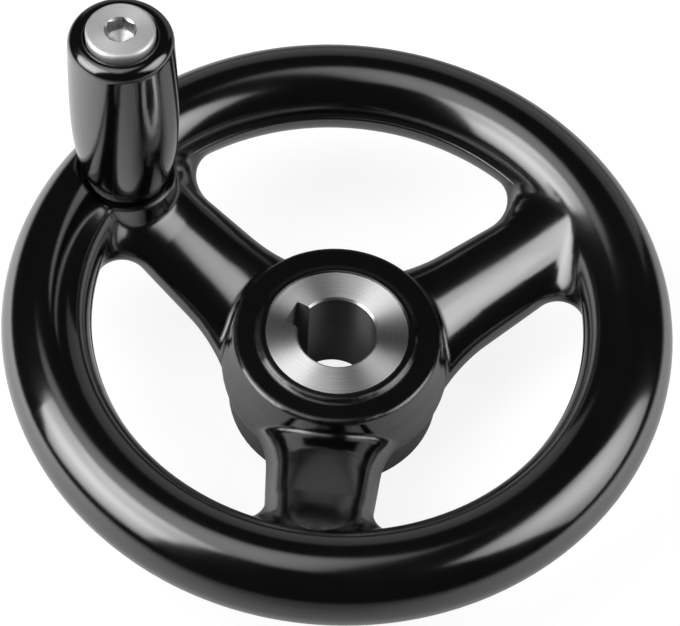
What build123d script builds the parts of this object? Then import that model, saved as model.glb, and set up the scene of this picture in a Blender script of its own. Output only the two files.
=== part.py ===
from build123d import *
from math import copysign, cos, hypot, pi, radians, sin, sqrt, tan
import os

# Three-spoke phenolic handwheel with a metal hub bush and a revolving handle on its rim.
#
# Frame: the origin is the centre of the hub's lower face. +Z runs up along the bore, towards
# the side that the handle stands on, and +X points from the bore to the handle. Millimetres.

# Wheel
WHEEL_D = 100.0
RIM_D = 13.2             # round section of the rim
RIM_RISE = 4.6           # of the rim's middle plane above the hub's top
SPOKES = 3

# Hub moulding
HUB_H = 18.0
COLLAR_D = 31.4          # drafted collar, at its upper edge
COLLAR_FOOT_D = 33.0
COLLAR_H = 3.7
WAIST_D = 34.8           # fullest part of the hub, between the spokes
WAIST_DROP = 8.8         # of that part below the hub's top
BOSS_D = 32.6            # plain lower end
BOSS_DROP = 12.6         # of the plain end's top below the hub's top
HUB_EDGE_R = 0.6
RIB_W = 1.3              # raised ring that frames the bush
RIB_H = 0.45
RIB_EDGE_R = 0.35

# Bush moulded into the hub
BUSH_D = 21.6
BUSH_GRIP_W = 6.0        # six-sided waist that the moulding locks into
BUSH_GRIP_DEPTH = 1.0
BORE_D = 12.0
BORE_CHAMFER = 0.3
KEY_W = 4.0
KEY_DEPTH = 1.8          # from the bore's wall to the keyway's floor
KEY_ANGLE = 8.0          # degrees, from the handle

# Spokes
SPOKE_W = 14.9           # where a spoke enters the rim
SPOKE_ROOT_W = 17.6      # at the hub
SPOKE_SLIMMER = 4.5      # of a spoke's upright thickness than the rim's
SPOKE_TOP_DROP = 2.7     # of a spoke's crest below the hub's top, at the collar
SPOKE_RIM_DROP = 2.1     # of a spoke's middle below the rim's, where it enters the rim
SPOKE_FULLNESS = 2.1     # exponent of the section: 2 is an ellipse, more is squarer
FLARE_R = 19.0           # in plan, where a spoke spreads into the hub
FLARE_SUNK = 1.0         # of the flare's inner end below the hub's waist
FLARE_STEPS = 4
SWEEP_R = 33.0           # in elevation, where a spoke's crest turns up to the rim
SWEEP_L = 7.8            # how far short of the rim that starts
SWEEP_STEPS = 4
SPOKE_SUNK = 3.0         # of a spoke's hidden end inside the rim
SECTION_POINTS = 24
HUB_BLEND_R = 0.6
RIM_BLEND_R = 5.2
RIM_BLEND_SHARE = 0.8    # of the rim's own radius, which that blend never passes

# Seat for the handle, half on a spoke and half sunk into the rim
HANDLE_INSET = 4.0       # of the handle's axis inside the rim's middle circle
SEAT_DROP = 2.7          # of the seat below the rim's top
SEAT_D = 14.4
SEAT_DRAFT = 6.0         # degrees
SEAT_BLEND_R = 0.8
POCKET_D = 15.4

# Threaded bush moulded into the seat
STUD_BUSH_D = 10.0
STUD_BUSH_H = 8.5
STUD_BUSH_GRIP_W = 3.0
STUD_BUSH_GRIP_DEPTH = 0.6
TAPPED_DEPTH = 7.3

# Shoulder screw that the grip turns on
THREAD_D = 6.0
THREAD_L = 6.5
SHOULDER_D = 7.0
HEAD_D = 10.0
HEAD_H = 4.0
HEAD_EDGE_R = 0.5
HEX_AF = 4.0
HEX_DEPTH = 2.4
HEX_TIP_DEPTH = 1.0      # of the drilled cone below the socket's floor
HEX_CHAMFER = 0.35
HEAD_PROUD = 1.2         # of the head above the grip

# Revolving grip
GRIP_L = 32.5
GRIP_FOOT_D = 12.4
GRIP_KNEE_D = 14.9       # where the grip's foot runs into its barrel
GRIP_KNEE_Z = 5.9
GRIP_D = 16.0
GRIP_FULL_Z = 18.0
GRIP_SHOULDER_D = 15.5
GRIP_SHOULDER_Z = 27.3
GRIP_TOP_D = 15.1
GRIP_TOP_R = 1.7
GRIP_FOOT_R = 0.6
GRIP_MOUTH_R = 0.3
GRIP_GAP = 0.4           # under the grip
END_PLAY = 0.2           # under the screw's head
RUNNING_GAP = 0.05       # radial, between the grip and the screw's shoulder
HEAD_GAP = 0.3           # radial, between the grip and the screw's head

UPWARD = (Align.CENTER, Align.CENTER, Align.MIN)
SAME = 0.01              # lengths this close count as equal

rim_r = RIM_D / 2
rim_mid_r = WHEEL_D / 2 - rim_r
rim_inner_r = rim_mid_r - rim_r
rim_mid_z = HUB_H + RIM_RISE
spoke_h = RIM_D - SPOKE_SLIMMER
spoke_mid_z = HUB_H - SPOKE_TOP_DROP - spoke_h / 2
spoke_slope = (rim_mid_z - SPOKE_RIM_DROP - spoke_mid_z) / (rim_inner_r - COLLAR_FOOT_D / 2)
handle_r = rim_mid_r - HANDLE_INSET
seat_z = rim_mid_z + rim_r - SEAT_DROP
grip_z = seat_z + GRIP_GAP
head_top_z = grip_z + GRIP_L + HEAD_PROUD
head_z = head_top_z - HEAD_H


def turned(outline, rounds=()):
    """Solid turned about +Z from a closed outline of (radius, z) edges.

    rounds lists (radius, z, rounding) for each corner of the outline that is broken.
    """
    profile = make_face(outline)
    for radius, z, rounding in rounds:
        corner = profile.vertices().sort_by_distance((radius, z))[0]
        profile = fillet(corner, rounding)
    return revolve(Plane.XZ * profile, Axis.Z)


def round_bar(diameter, low, high):
    """Plain cylinder on +Z between two heights."""
    return Pos(0, 0, low) * Cylinder(diameter / 2, high - low, align=UPWARD)


def hex_bar(across_flats, low, high):
    """Six-sided bar on +Z between two heights."""
    return Pos(0, 0, low) * extrude(RegularPolygon(across_flats / 2, 6, major_radius=False), high - low)


def countersink(mouth_r, inner_r, top, depth):
    """Cone on +Z that narrows downwards from its mouth at the given height."""
    return Pos(0, 0, top) * Rot(180, 0, 0) * Cone(mouth_r, inner_r, depth, align=UPWARD)


def at_handle(shape):
    """A shape made on +Z, moved to the handle's axis."""
    return Pos(handle_r, 0, 0) * shape


def at_spoke(index, shape):
    """A shape made on +X, turned to one of the spokes. The handle stands on spoke 0."""
    return Rot(0, 0, 360 / SPOKES * index) * shape


def blended(base, addition, blend_r):
    """Two solids fused, with the crease between them rolled to a radius."""
    whole = base + addition
    return fillet(new_edges(base, addition, combined=whole), blend_r)


def bush_blank(diameter, length, grip_w, grip_depth):
    """Bush without its hole, standing on z = 0, with a six-sided waist at half its length."""
    low = (length - grip_w) / 2
    high = low + grip_w
    groove = round_bar(diameter, low, high) - hex_bar(diameter - 2 * grip_depth, low, high)
    return round_bar(diameter, 0, length) - groove


def hub():
    """Hub moulding: plain lower end, a swell between the spokes, a drafted collar, a raised ring."""
    ring_r = BUSH_D / 2 + RIB_W
    collar_top = HUB_H - RIB_H
    boss_top = (BOSS_D / 2, HUB_H - BOSS_DROP)
    collar_foot = (COLLAR_FOOT_D / 2, HUB_H - COLLAR_H)
    outline = [
        Polyline((0, 0), (BOSS_D / 2, 0), boss_top),
        Spline(boss_top, (WAIST_D / 2, HUB_H - WAIST_DROP), collar_foot),
        Polyline(collar_foot, (COLLAR_D / 2, collar_top), (ring_r, collar_top), (ring_r, HUB_H)),
        Polyline((ring_r, HUB_H), (0, HUB_H), (0, 0)),
    ]
    rounds = [
        (BOSS_D / 2, 0, HUB_EDGE_R),
        (COLLAR_D / 2, collar_top, HUB_EDGE_R),
        (ring_r, HUB_H, RIB_EDGE_R),
    ]
    return Rot(0, 0, 180 / SPOKES) * turned(outline, rounds)


def spoke_section(x, half_width):
    """Upright section of a spoke at distance x from the bore: a full, softly crowned bar."""
    lift = max(0, x - (rim_inner_r - SWEEP_L)) ** 2 / (2 * SWEEP_R)
    middle = spoke_mid_z + spoke_slope * (x - COLLAR_FOOT_D / 2) + lift / 2
    half_height = (spoke_h + lift) / 2
    points = []
    for step in range(SECTION_POINTS):
        turn = 2 * pi * (step + 0.5) / SECTION_POINTS
        across = copysign(abs(cos(turn)) ** (2 / SPOKE_FULLNESS), cos(turn))
        up = copysign(abs(sin(turn)) ** (2 / SPOKE_FULLNESS), sin(turn))
        points.append((x, half_width * across, middle + half_height * up))
    return make_face(Spline(*points, periodic=True))


def spoke():
    """Dished, tapered bar along +X: it spreads into the hub and its crest sweeps up to the rim."""
    waist_r = WAIST_D / 2
    taper = (SPOKE_ROOT_W - SPOKE_W) / 2 / (rim_inner_r - waist_r)
    centre_r = waist_r - FLARE_SUNK + FLARE_R
    flare_x = sqrt(centre_r**2 - (SPOKE_ROOT_W / 2 + FLARE_R) ** 2)
    flare_length = flare_x * FLARE_R / centre_r
    root = []
    for step in range(FLARE_STEPS, -1, -1):
        inward = flare_length * step / FLARE_STEPS
        spread = FLARE_R - sqrt(FLARE_R**2 - inward**2)
        x = flare_x - inward
        root.append(spoke_section(x, SPOKE_ROOT_W / 2 - taper * (x - waist_r) + spread))
    sweep_x = rim_inner_r - SWEEP_L
    end_x = rim_inner_r + SPOKE_SUNK
    sweep = []
    for step in range(SWEEP_STEPS + 1):
        x = sweep_x + (end_x - sweep_x) * step / SWEEP_STEPS
        sweep.append(spoke_section(x, SPOKE_ROOT_W / 2 - taper * (x - waist_r)))
    return loft(root) + loft([root[-1], sweep[0]]) + loft(sweep)


def handle_seat():
    """Drafted boss under the handle, with its foot buried in the spoke and the rim."""
    foot_z = rim_mid_z - SPOKE_RIM_DROP
    foot_r = SEAT_D / 2 + (seat_z - foot_z) * tan(radians(SEAT_DRAFT))
    outline = Polyline((0, foot_z), (foot_r, foot_z), (SEAT_D / 2, seat_z), (0, seat_z), close=True)
    return at_handle(turned(outline))


def on_seat_wall(edge):
    """True for the part of an edge loop that runs round the foot of the handle's seat."""
    draft = tan(radians(SEAT_DRAFT))
    for share in (0.02, 0.5, 0.98):
        point = edge @ share
        wall_r = SEAT_D / 2 + (seat_z - point.Z) * draft
        if abs(hypot(point.X - handle_r, point.Y) - wall_r) > SAME:
            return False
    return (edge @ 0.5).Z < seat_z - SAME


def wheel_body():
    """The one-piece moulding: hub, three dished spokes, round rim and the handle's seat."""
    star = hub()
    for index in range(SPOKES):
        star = blended(star, at_spoke(index, spoke()), HUB_BLEND_R)
    rim = Pos(0, 0, rim_mid_z) * Rot(0, 0, 180 / SPOKES) * Torus(rim_mid_r, rim_r)
    body = blended(rim, star, min(RIM_BLEND_R, RIM_BLEND_SHARE * rim_r))
    body = body + handle_seat()
    body = fillet(body.edges().filter_by(on_seat_wall), SEAT_BLEND_R)
    body -= at_handle(round_bar(POCKET_D, seat_z, seat_z + RIM_D))
    body -= bush_blank(BUSH_D, HUB_H, BUSH_GRIP_W, BUSH_GRIP_DEPTH)
    return body - stud_bush_blank()


def hub_insert():
    """Metal bush moulded into the hub, bored right through and keyed."""
    bush = bush_blank(BUSH_D, HUB_H, BUSH_GRIP_W, BUSH_GRIP_DEPTH) - round_bar(BORE_D, 0, HUB_H)
    circles = bush.edges().filter_by(GeomType.CIRCLE)
    mouths = circles.filter_by(lambda edge: abs(edge.radius - BORE_D / 2) < SAME)
    bush = chamfer(mouths, BORE_CHAMFER)
    floor_x = BORE_D / 2 + KEY_DEPTH
    slot = Pos(floor_x / 2, 0, HUB_H / 2) * Box(floor_x, KEY_W, HUB_H)
    return bush - Rot(0, 0, KEY_ANGLE) * slot


def stud_bush_blank():
    """Outer form of the handle's threaded bush, its top level with the seat."""
    blank = bush_blank(STUD_BUSH_D, STUD_BUSH_H, STUD_BUSH_GRIP_W, STUD_BUSH_GRIP_DEPTH)
    return at_handle(Pos(0, 0, seat_z - STUD_BUSH_H) * blank)


def handle_insert():
    """Threaded metal bush moulded under the handle, closed at its lower end."""
    return stud_bush_blank() - at_handle(round_bar(THREAD_D, seat_z - TAPPED_DEPTH, seat_z))


def handle_screw():
    """Shoulder screw with a low round head and a hexagon socket."""
    tip_z = seat_z - THREAD_L
    outline = Polyline(
        (0, tip_z),
        (THREAD_D / 2, tip_z),
        (THREAD_D / 2, seat_z),
        (SHOULDER_D / 2, seat_z),
        (SHOULDER_D / 2, head_z),
        (HEAD_D / 2, head_z),
        (HEAD_D / 2, head_top_z),
        (0, head_top_z),
        close=True,
    )
    rounds = [(THREAD_D / 2, tip_z, HEAD_EDGE_R), (HEAD_D / 2, head_top_z, HEAD_EDGE_R)]
    floor_z = head_top_z - HEX_DEPTH
    corner_r = HEX_AF / sqrt(3)
    socket = hex_bar(HEX_AF, floor_z, head_top_z)
    drill_tip = countersink(HEX_AF / 2, 0, floor_z, HEX_TIP_DEPTH)
    mouth = countersink(corner_r, corner_r - HEX_CHAMFER, head_top_z, HEX_CHAMFER)
    return at_handle(turned(outline, rounds) - socket - drill_tip - mouth)


def handle_grip():
    """Barrel-shaped sleeve that turns on the screw's shoulder under its head."""
    top_z = grip_z + GRIP_L
    bore_r = SHOULDER_D / 2 + RUNNING_GAP
    recess_r = HEAD_D / 2 + HEAD_GAP
    recess_z = head_z - END_PLAY
    foot = (GRIP_FOOT_D / 2, grip_z)
    knee = (GRIP_KNEE_D / 2, grip_z + GRIP_KNEE_Z)
    fullest = (GRIP_D / 2, grip_z + GRIP_FULL_Z)
    shoulder = (GRIP_SHOULDER_D / 2, grip_z + GRIP_SHOULDER_Z)
    edge = (GRIP_TOP_D / 2, top_z)
    outline = [
        Spline(foot, knee, fullest, shoulder, edge),
        Polyline(edge, (recess_r, top_z), (recess_r, recess_z), (bore_r, recess_z), (bore_r, grip_z), foot),
    ]
    rounds = [
        (*foot, GRIP_FOOT_R),
        (*edge, min(GRIP_TOP_R, edge[0] - recess_r - GRIP_MOUTH_R - SAME)),
        (recess_r, top_z, GRIP_MOUTH_R),
    ]
    return at_handle(turned(outline, rounds))


os.makedirs("parts", exist_ok=True)
for piece in (wheel_body, hub_insert, handle_insert, handle_screw, handle_grip):
    solid = piece()
    solid.label = piece.__name__
    export_step(solid, f"parts/{piece.__name__}.step")
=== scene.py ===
import math

import bpy
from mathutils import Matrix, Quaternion, Vector


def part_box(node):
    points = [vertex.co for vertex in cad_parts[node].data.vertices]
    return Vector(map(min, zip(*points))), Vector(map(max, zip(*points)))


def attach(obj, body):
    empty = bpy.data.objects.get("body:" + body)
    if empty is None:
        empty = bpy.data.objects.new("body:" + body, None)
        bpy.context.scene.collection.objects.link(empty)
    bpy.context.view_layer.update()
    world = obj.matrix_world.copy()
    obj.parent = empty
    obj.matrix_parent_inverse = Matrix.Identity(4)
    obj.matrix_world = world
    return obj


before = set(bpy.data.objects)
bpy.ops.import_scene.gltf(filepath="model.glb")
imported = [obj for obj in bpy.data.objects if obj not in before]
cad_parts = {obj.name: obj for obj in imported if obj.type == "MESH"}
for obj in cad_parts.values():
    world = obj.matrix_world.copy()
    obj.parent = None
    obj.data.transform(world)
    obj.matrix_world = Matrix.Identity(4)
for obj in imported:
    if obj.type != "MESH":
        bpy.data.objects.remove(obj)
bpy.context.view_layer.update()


# ---------------------------------------------------------------------------------------
# The bench it is shown on
#
# A white sweep under the wheel, two tall soft boxes, one to each side, a card overhead and a
# low one behind. The wheel stands on its hub's lower face, as it would on a bench.
# ---------------------------------------------------------------------------------------
CAMERA_PLACE = (-0.09788, 0.16273, 0.31867)
CAMERA_TURN_DEG = (32.659, -2.515, -145.117)
SENSOR_MM = 36.0
LENS_MM = 124.71
camera_data = bpy.data.cameras.new("camera")
camera = bpy.data.objects.new("camera", camera_data)
bpy.context.scene.collection.objects.link(camera)
camera.location = CAMERA_PLACE
camera.rotation_euler = [math.radians(angle) for angle in CAMERA_TURN_DEG]
camera_data.sensor_width = SENSOR_MM
camera_data.lens = LENS_MM
camera_data.clip_start = 0.01
camera_data.clip_end = 20.0
bpy.context.scene.camera = camera
bpy.context.scene.view_settings.view_transform = "Standard"


def feed(tree, socket, source):
    """Links another node's output to a socket, or sets the socket to a plain value."""
    if isinstance(source, bpy.types.NodeSocket):
        tree.links.new(source, socket)
    else:
        socket.default_value = source


def add_node(tree, kind, **sources):
    """A shader node with some of its inputs fed, by name with spaces as underscores."""
    node = tree.nodes.new(kind)
    for name, source in sources.items():
        feed(tree, node.inputs[name.replace("_", " ")], source)
    return node


def maths(tree, operation, *sources, kind="ShaderNodeMath", result="Value"):
    """The result of a maths node, with its inputs fed in order."""
    node = tree.nodes.new(kind)
    node.operation = operation
    for socket, source in zip(node.inputs, sources):
        feed(tree, socket, source)
    return node.outputs[result]


LAMP_DISTANCE = 0.8


def soft_box(name, azimuth, elevation, width, height, glow, across, up, lean=0.0):
    """A rectangular soft box or card aimed at the wheel.

    azimuth, elevation, width and height are angles seen from the wheel, in degrees, and lean
    turns the box in its own plane. glow is its greatest brightness; across and up list the
    (place, share) points of its fall-off over the cloth.
    """
    lamp_data = bpy.data.lights.new(name, "AREA")
    lamp_data.shape = "RECTANGLE"
    lamp_data.size = 2 * LAMP_DISTANCE * math.tan(math.radians(width / 2))
    lamp_data.size_y = 2 * LAMP_DISTANCE * math.tan(math.radians(height / 2))
    lamp_data.energy = glow * math.pi * lamp_data.size * lamp_data.size_y
    lamp = bpy.data.objects.new(name, lamp_data)
    bpy.context.scene.collection.objects.link(lamp)
    turn, rise = math.radians(azimuth), math.radians(elevation)
    level = math.cos(rise)
    out = Vector((math.cos(turn) * level, math.sin(turn) * level, math.sin(rise)))
    lamp.location = out * LAMP_DISTANCE
    aim = (-out).to_track_quat("-Z", "Y") @ Quaternion((0.0, 0.0, 1.0), math.radians(lean))
    lamp.rotation_euler = aim.to_euler()
    lamp_data.use_nodes = True
    tree = lamp_data.node_tree
    cloth = tree.nodes.new("ShaderNodeNewGeometry")
    place = add_node(tree, "ShaderNodeSeparateXYZ", Vector=cloth.outputs["Parametric"])
    fades = []
    for shares, way in ((across, "X"), (up, "Y")):
        fade = add_node(tree, "ShaderNodeFloatCurve", Value=place.outputs[way])
        points = fade.mapping.curves[0].points
        points[0].location = shares[0]
        points[1].location = shares[-1]
        for share in shares[1:-1]:
            points.new(*share)
        fade.mapping.update()
        fades.append(fade.outputs["Value"])
    feed(tree, tree.nodes["Emission"].inputs["Strength"], maths(tree, "MULTIPLY", *fades))


LEFT_ACROSS = ((0, 0.7), (0.08, 1), (0.9, 0.95), (1, 0.6))
LEFT_UP = ((0, 0.2), (0.16, 0.58), (0.33, 0.82), (0.5, 1), (0.67, 0.75), (0.9, 0.58), (1, 0.3))
soft_box(
    "left_box", azimuth=50.0, elevation=40.0, width=40.0, height=58.0, glow=5.2,
    across=LEFT_ACROSS, up=LEFT_UP, lean=15.0)
RIGHT_ACROSS = ((0, 0.5), (0.25, 0.8), (0.5, 1), (0.9, 0.83), (1, 0.6))
RIGHT_UP = ((0, 0.5), (0.2, 0.65), (0.38, 0.87), (0.64, 1), (0.82, 0.83), (1, 0.25))
soft_box(
    "right_box", azimuth=-155.0, elevation=37.0, width=40.0, height=56.0, glow=3.8,
    across=RIGHT_ACROSS, up=RIGHT_UP, lean=7.0)
SOFT_EDGED = ((0, 0.2), (0.5, 1), (1, 0.2))
soft_box(
    "overhead_card", azimuth=18.0, elevation=75.0, width=40.0, height=40.0, glow=1.5,
    across=SOFT_EDGED, up=SOFT_EDGED)
EVEN = ((0, 1), (1, 1))
WEAKER_AT_TOP = ((0, 1), (1, 0.5))
soft_box(
    "back_card", azimuth=-65.0, elevation=14.0, width=72.0, height=38.0, glow=0.40,
    across=EVEN, up=WEAKER_AT_TOP)

WHITE = (1.0, 1.0, 1.0, 1.0)
ROOM_ON_WHEEL = 0.02
ROOM_BEHIND_WHEEL = 1.0
world = bpy.data.worlds.new("studio")
bpy.context.scene.world = world
world.use_nodes = True
studio = world.node_tree
studio_rays = studio.nodes.new("ShaderNodeLightPath")
room = add_node(
    studio, "ShaderNodeMapRange", Value=studio_rays.outputs["Is Camera Ray"],
    To_Min=ROOM_ON_WHEEL, To_Max=ROOM_BEHIND_WHEEL)
backdrop = studio.nodes["Background"]
backdrop.inputs["Color"].default_value = WHITE
feed(studio, backdrop.inputs["Strength"], room.outputs["Result"])

SWEEP_SIZE = 12.0
SWEEP_GREY = 0.25
SWEEP_WHITENESS = 0.85
bpy.ops.object.select_all(action="DESELECT")
bpy.ops.mesh.primitive_plane_add(size=SWEEP_SIZE, location=(0, 0, 0))
floor = bpy.context.object
floor.name = "floor"
floor_paint = bpy.data.materials.new("white_sweep")
floor_paint.use_nodes = True
sweep = floor_paint.node_tree
floor_shader = sweep.nodes["Principled BSDF"]
floor_shader.inputs["Base Color"].default_value = (SWEEP_GREY, SWEEP_GREY, SWEEP_GREY, 1.0)
floor_shader.inputs["Roughness"].default_value = 0.6
floor_shader.inputs["Specular IOR Level"].default_value = 0.0
floor_shader.inputs["Emission Color"].default_value = WHITE
floor_place = sweep.nodes.new("ShaderNodeTexCoord")
floor_rays = sweep.nodes.new("ShaderNodeLightPath")


def vector_maths(tree, operation, *sources, result="Vector"):
    """The result of a vector maths node; a length or a distance comes out as its Value."""
    return maths(tree, operation, *sources, kind="ShaderNodeVectorMath", result=result)


def patch(x, y, near, far, inside, outside):
    """A soft round patch of the sweep: one level up to near from its centre, another past far."""
    away = vector_maths(
        sweep, "DISTANCE", floor_place.outputs["Object"], (x, y, 0.0), result="Value")
    spread = add_node(
        sweep, "ShaderNodeMapRange", Value=away, From_Min=near, From_Max=far, To_Min=inside,
        To_Max=outside)
    spread.interpolation_type = "SMOOTHSTEP"
    return spread.outputs["Result"]


def painted_pool(x, y, reach, glow):
    """A painted pool of light on the sweep, which only reflections and transmission see."""
    return patch(x, y, near=0.0, far=reach, inside=glow, outside=0.0)


# Painted pools of light on the sweep: a glow seen only in reflections and transmission, not cast
# by the soft boxes.
left_painted_pools = maths(
    sweep, "ADD", painted_pool(0.16, 0.085, reach=0.24, glow=1.7), painted_pool(0.25, 0.31, reach=0.25, glow=1.1))
right_painted_pools = maths(
    sweep, "ADD", painted_pool(-0.16, -0.09, reach=0.24, glow=1.1),
    painted_pool(-0.36, -0.17, reach=0.22, glow=0.7))
painted_pools = maths(sweep, "ADD", left_painted_pools, right_painted_pools)
# Painted shadow: the painted pools fade out under the hub.
hub_shade = patch(0.0, 0.0, near=0.01, far=0.032, inside=0.0, outside=1.0)
painted_pools = maths(sweep, "MULTIPLY", painted_pools, hub_shade)
mirrored = maths(
    sweep, "MAXIMUM", floor_rays.outputs["Is Glossy Ray"],
    floor_rays.outputs["Is Transmission Ray"])
painted_pools_in_gloss = maths(sweep, "MULTIPLY", painted_pools, mirrored)
in_view = maths(sweep, "MULTIPLY", floor_rays.outputs["Is Camera Ray"], SWEEP_WHITENESS)
feed(sweep, floor_shader.inputs["Emission Strength"], maths(sweep, "ADD", painted_pools_in_gloss, in_view))
floor.data.materials.append(floor_paint)


# ---------------------------------------------------------------------------------------
# Wheel moulding
#
# Hub, three spokes and rim in one piece: black phenolic, compression moulded in a polished
# tool, then the flash is trimmed off the rim and the whole piece is buffed.
# ---------------------------------------------------------------------------------------
PHENOLIC_BLACK = (0.002, 0.002, 0.0022, 1.0)


def phenolic(name, edge_radius):
    """Buffed black moulding: rounded edges, slow waviness, fine peel and dulled patches.

    edge_radius is how far the buffing has rounded the edges, in metres.
    """
    material = bpy.data.materials.new(name)
    material.use_nodes = True
    tree = material.node_tree
    shader = tree.nodes["Principled BSDF"]
    shader.inputs["Base Color"].default_value = PHENOLIC_BLACK
    shader.inputs["IOR"].default_value = 1.65
    shader.inputs["Specular IOR Level"].default_value = 0.95
    place = tree.nodes.new("ShaderNodeTexCoord").outputs["Object"]

    handling = add_node(
        tree, "ShaderNodeTexNoise", Vector=place, Scale=55.0, Detail=4.0, Roughness=0.6)
    dulling = add_node(
        tree, "ShaderNodeMapRange", Value=handling.outputs["Fac"], From_Min=0.35, From_Max=0.75,
        To_Min=0.10, To_Max=0.17)
    feed(tree, shader.inputs["Roughness"], dulling.outputs["Result"])

    buffed = add_node(tree, "ShaderNodeBevel", Radius=edge_radius)
    buffed.samples = 6
    waviness = add_node(tree, "ShaderNodeTexNoise", Vector=place, Scale=70.0, Detail=1.0)
    wavy = add_node(
        tree, "ShaderNodeBump", Strength=0.25, Distance=0.00012,
        Height=waviness.outputs["Fac"], Normal=buffed.outputs["Normal"])
    peel = add_node(tree, "ShaderNodeTexNoise", Vector=place, Scale=900.0, Detail=3.0)
    peeled = add_node(
        tree, "ShaderNodeBump", Strength=0.1, Distance=0.00001,
        Height=peel.outputs["Fac"], Normal=wavy.outputs["Normal"])
    feed(tree, shader.inputs["Normal"], peeled.outputs["Normal"])
    return material


def dress(node, material):
    """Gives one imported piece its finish."""
    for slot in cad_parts[node].material_slots:
        slot.material = material


wheel_phenolic = phenolic("wheel_phenolic", edge_radius=0.0008)
dress("wheel_body", wheel_phenolic)


# ---------------------------------------------------------------------------------------
# Trimmed moulding seam
#
# The two halves of the tool meet at the rim's inner side. The flash is cut back there and
# the cut is buffed, which leaves a narrow raised land all the way round.
# ---------------------------------------------------------------------------------------
LAND_Z = 0.0226
LAND_R = 0.0367
LAND_WIDTH = 0.0011
LAND_DEPTH = 0.0006
LAND_CORNER = 0.00008
LAND_FACETS = 256
bpy.ops.object.select_all(action="DESELECT")
bpy.ops.mesh.primitive_cylinder_add(
    vertices=LAND_FACETS, radius=LAND_R, depth=LAND_WIDTH, end_fill_type="NOTHING",
    location=(0, 0, LAND_Z))
land = bpy.context.object
land.name = "moulding_seam"
bpy.ops.object.transform_apply(location=True, rotation=False, scale=False)
wall = land.modifiers.new("wall", "SOLIDIFY")
wall.thickness = LAND_DEPTH
wall.offset = 1.0
bpy.ops.object.modifier_apply(modifier="wall")
corners = land.modifiers.new("corners", "BEVEL")
corners.width = LAND_CORNER
corners.segments = 2
corners.limit_method = "ANGLE"
corners.angle_limit = math.radians(60)
bpy.ops.object.modifier_apply(modifier="corners")
bpy.ops.object.shade_smooth_by_angle(angle=math.radians(35))
land.data.materials.append(wheel_phenolic)
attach(land, "wheel")


# ---------------------------------------------------------------------------------------
# Hub bush
#
# Turned steel, moulded into the hub. Its upper face is faced off on a lathe after moulding,
# so it shows fine rings; the bore is reamed and the keyway broached.
# ---------------------------------------------------------------------------------------
RING_PITCH = 0.0003
RING_DEPTH = 0.00001
# Recess walls near an axis are painted darker as shade; that painted shade fades in over this
# width.
PAINTED_SHADE_EDGE = 0.0002
UNTINTED = (1.0, 1.0, 1.0)


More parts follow.
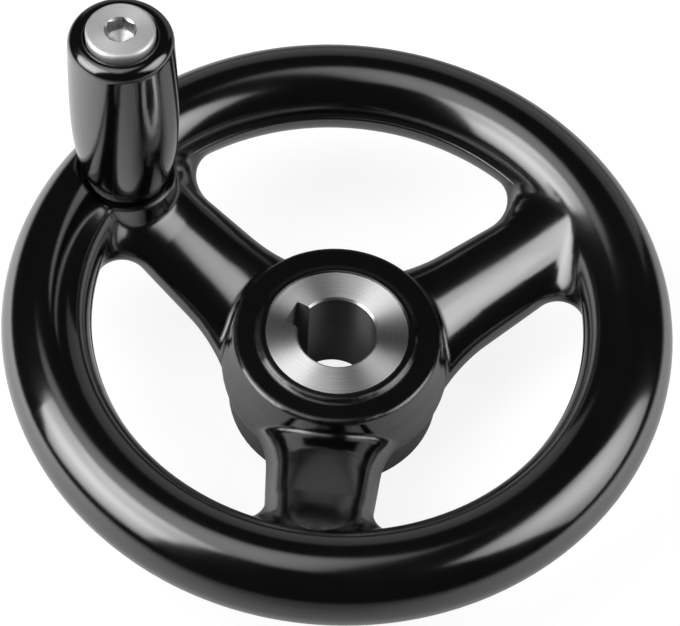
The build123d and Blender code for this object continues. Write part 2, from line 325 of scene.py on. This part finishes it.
def turned_metal(name, axis, face, wall, hollow_painted_shade, painted_shade_radius, grain, tint=UNTINTED):
    """Metal with lathe rings about an upright axis through the given point.

    face and wall are the (shade, roughness) of its level faces and of its upright walls; the
    third pair is for walls within the given radius of the axis, painted darker as recess shade.
    grain says how much the tool marks draw the light out across them; tint is the metal's own
    colour.
    """
    material = bpy.data.materials.new(name)
    material.use_nodes = True
    tree = material.node_tree
    shader = tree.nodes["Principled BSDF"]
    shader.inputs["Metallic"].default_value = 1.0
    shader.inputs["Anisotropic"].default_value = grain
    object_place = tree.nodes.new("ShaderNodeTexCoord").outputs["Object"]
    place = vector_maths(tree, "SUBTRACT", object_place, axis)
    surface = tree.nodes.new("ShaderNodeNewGeometry").outputs["Normal"]

    from_axis = vector_maths(tree, "MULTIPLY", place, (1.0, 1.0, 0.0))
    groove = vector_maths(tree, "CROSS_PRODUCT", from_axis, (0.0, 0.0, 1.0))
    across_groove = vector_maths(tree, "CROSS_PRODUCT", groove, surface)
    feed(tree, shader.inputs["Tangent"], vector_maths(tree, "NORMALIZE", across_groove))

    radius = vector_maths(tree, "LENGTH", from_axis, result="Value")
    rings = tree.nodes.new("ShaderNodeTexNoise")
    rings.noise_dimensions = "1D"
    rings.inputs["Scale"].default_value = 1.0 / RING_PITCH
    rings.inputs["Detail"].default_value = 2.0
    feed(tree, rings.inputs["W"], radius)
    ringed = add_node(
        tree, "ShaderNodeBump", Strength=0.15, Distance=RING_DEPTH, Height=rings.outputs["Fac"])
    feed(tree, shader.inputs["Normal"], ringed.outputs["Normal"])

    facing = add_node(tree, "ShaderNodeSeparateXYZ", Vector=surface)
    levelness = add_node(
        tree, "ShaderNodeMapRange", Value=maths(tree, "ABSOLUTE", facing.outputs["Z"]),
        From_Min=0.5, From_Max=0.95)
    smudges = add_node(
        tree, "ShaderNodeTexNoise", Vector=place, Scale=190.0, Detail=2.0, Roughness=0.4)
    marks = maths(tree, "ADD", rings.outputs["Fac"], smudges.outputs["Fac"])

    def marked(which, spread):
        """The shade (0) or roughness (1), with painted shade in recesses, varied a little by
        rings and smudges.
        """
        # Painted shade: walls within the given radius of the axis, in a bore, keyway or socket,
        # take the darker third pair.
        walls = add_node(
            tree, "ShaderNodeMapRange", Value=radius, From_Min=painted_shade_radius,
            From_Max=painted_shade_radius + PAINTED_SHADE_EDGE, To_Min=hollow_painted_shade[which], To_Max=wall[which])
        plain = add_node(
            tree, "ShaderNodeMapRange", Value=levelness.outputs["Result"],
            To_Min=walls.outputs["Result"], To_Max=face[which])
        varied = add_node(
            tree, "ShaderNodeMapRange", Value=marks, From_Min=0.7, From_Max=1.3,
            To_Min=1.0 - spread, To_Max=1.0 + spread)
        return maths(tree, "MULTIPLY", plain.outputs["Result"], varied.outputs["Result"])

    shade = marked(0, spread=-0.12)
    feed(tree, shader.inputs["Base Color"], vector_maths(tree, "MULTIPLY", shade, tint))
    feed(tree, shader.inputs["Roughness"], marked(1, spread=0.08))
    return material


# The bush's bore and keyway walls, within this radius, get painted shade.
BUSH_PAINTED_SHADE_R = 0.0082
dress("hub_insert", turned_metal(
    "bush_steel_turned", axis=(0.0, 0.0, 0.0), face=(0.93, 0.36), wall=(0.60, 0.35),
    hollow_painted_shade=(0.36, 0.30), painted_shade_radius=BUSH_PAINTED_SHADE_R, grain=0.93))


# ---------------------------------------------------------------------------------------
# Handle: threaded bush, shoulder screw and grip
#
# The brass bush is moulded into the rim's seat. The zinc-plated screw goes down into it and
# carries the phenolic grip, which turns on the screw's plain shoulder.
# ---------------------------------------------------------------------------------------
# The screw's hex socket and the brass bush's bore, within this radius, get painted shade.
SOCKET_PAINTED_SHADE_R = 0.0026
BRASS_TINT = (1.0, 0.78, 0.42)
screw_low, screw_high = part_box("handle_screw")
handle_axis = ((screw_low.x + screw_high.x) / 2, 0.0, 0.0)
dress("handle_screw", turned_metal(
    "screw_zinc", axis=handle_axis, face=(0.80, 0.58), wall=(0.85, 0.50),
    hollow_painted_shade=(0.34, 0.28), painted_shade_radius=SOCKET_PAINTED_SHADE_R, grain=0.3))
dress("handle_insert", turned_metal(
    "bush_brass", axis=handle_axis, face=(0.72, 0.30), wall=(0.68, 0.30),
    hollow_painted_shade=(0.50, 0.30), painted_shade_radius=SOCKET_PAINTED_SHADE_R, grain=0.5, tint=BRASS_TINT))
dress("handle_grip", phenolic("grip_phenolic", edge_radius=0.0004))
